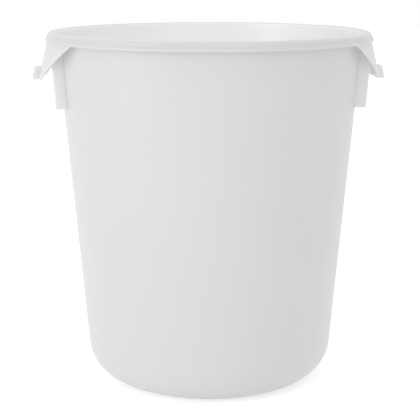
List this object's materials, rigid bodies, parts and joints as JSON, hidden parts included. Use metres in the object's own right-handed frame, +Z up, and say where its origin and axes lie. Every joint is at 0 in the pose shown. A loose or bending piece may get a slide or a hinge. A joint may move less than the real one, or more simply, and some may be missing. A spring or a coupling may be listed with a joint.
{
  "type": "dough proofing container",
  "caption": "Tall round open tub with a tapering wall, a flat turned-down rim and flared side handles, for letting dough rise.",
  "frame": {"origin": "middle of the underside, on the surface that the tub stands on", "axes": "+Z up along the tub's axis, the two handles on -X and +X, front on -Y"},
  "size_m": [0.3608, 0.3334, 0.36],
  "materials": {
    "milky_plastic": "moulded translucent milky polyethylene with a satin skin"
  },
  "bodies": {
    "root": {"floor_panel": "milky_plastic", "lower_corner": "milky_plastic", "upper_corner": "milky_plastic", "side_wall": "milky_plastic", "rim": "milky_plastic", "left_handle": "milky_plastic", "right_handle": "milky_plastic", "left_handle_lug": "milky_plastic", "right_handle_lug": "milky_plastic", "left_front_rib": "milky_plastic", "left_rear_rib": "milky_plastic", "right_front_rib": "milky_plastic", "right_rear_rib": "milky_plastic"}
  },
  "joints": []
}
